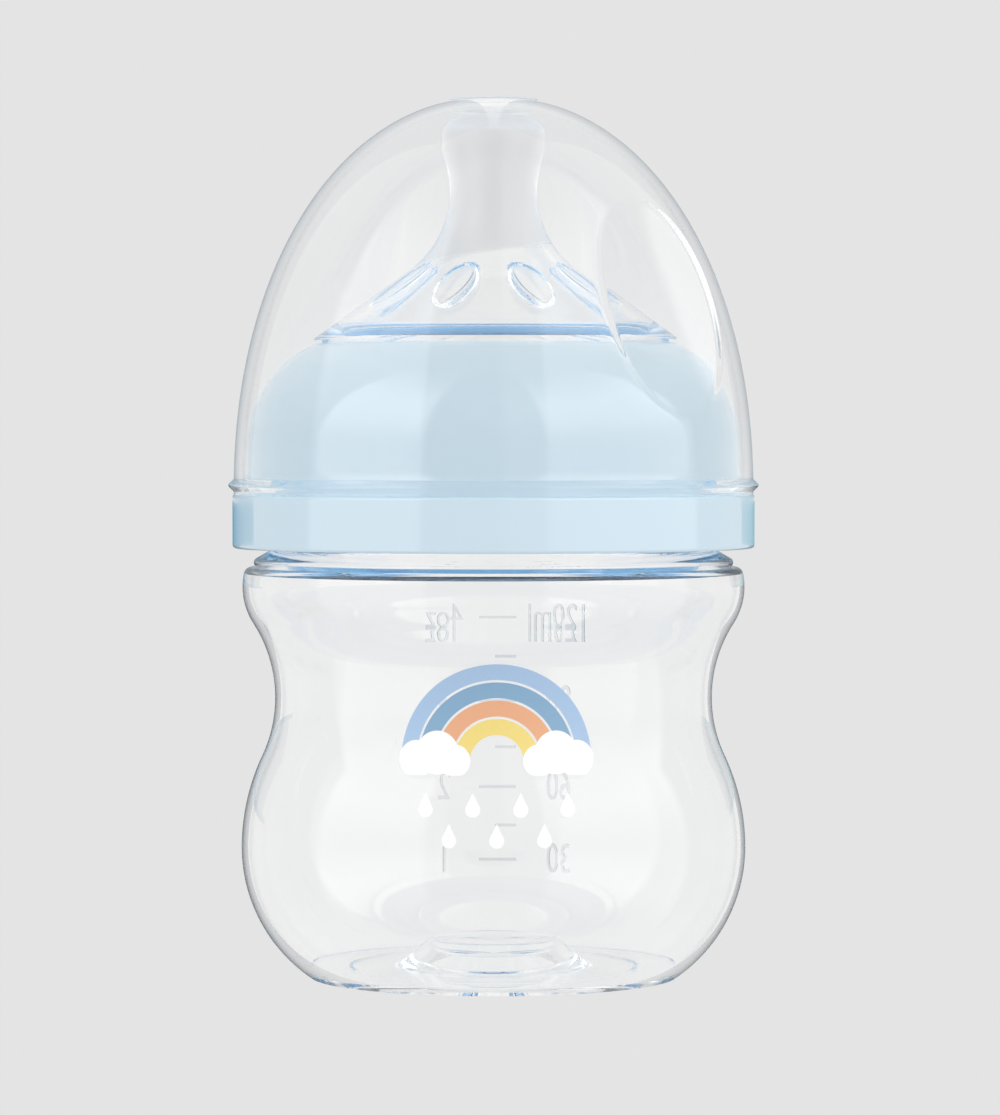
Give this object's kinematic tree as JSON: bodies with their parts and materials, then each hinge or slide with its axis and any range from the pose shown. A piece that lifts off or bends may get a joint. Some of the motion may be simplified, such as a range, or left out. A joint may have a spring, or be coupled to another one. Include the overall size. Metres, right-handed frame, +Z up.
{
  "type": "baby bottle",
  "caption": "Small wide-neck baby bottle: clear hourglass body, silicone teat held by a pale blue screw collar, and a clear push-on dome cap with a thumb hollow.",
  "frame": {"origin": "on the table, under the middle of the bottle's foot ring", "axes": "+Z up along the bottle's axis, -Y out of its printed front, +X to the right seen from the front"},
  "size_m": [0.0694, 0.0694, 0.1148],
  "materials": {
    "clear_body": "clear moulded plastic, high gloss",
    "silicone": "clear silicone, soft gloss",
    "blue_collar": "pale blue moulded plastic, gloss",
    "clear_cap": "clear moulded plastic, high gloss"
  },
  "bodies": {
    "bottle": {"bottle": "clear_body"},
    "teat": {"teat": "silicone"},
    "collar": {"collar": "blue_collar"},
    "cap": {"dome_cap": "clear_cap"}
  },
  "joints": [
    {"name": "teat_lift", "type": "slide", "parent": "bottle", "child": "teat", "axis": [0, 0, 1], "range_m": [0, 0.0075]},
    {"name": "collar_turn", "type": "hinge", "parent": "teat", "child": "collar", "pos_m": [0, 0, 0.0652], "axis": [0, 0, 1], "range_deg": [0, 450]},
    {"name": "cap_lift", "type": "slide", "parent": "collar", "child": "cap", "axis": [0, 0, 1], "range_m": [0, 0.062]}
  ],
  "couplings": [
    {"joint": "teat_lift", "follows": "collar_turn", "m_per_rad": 0.00095493}
  ]
}
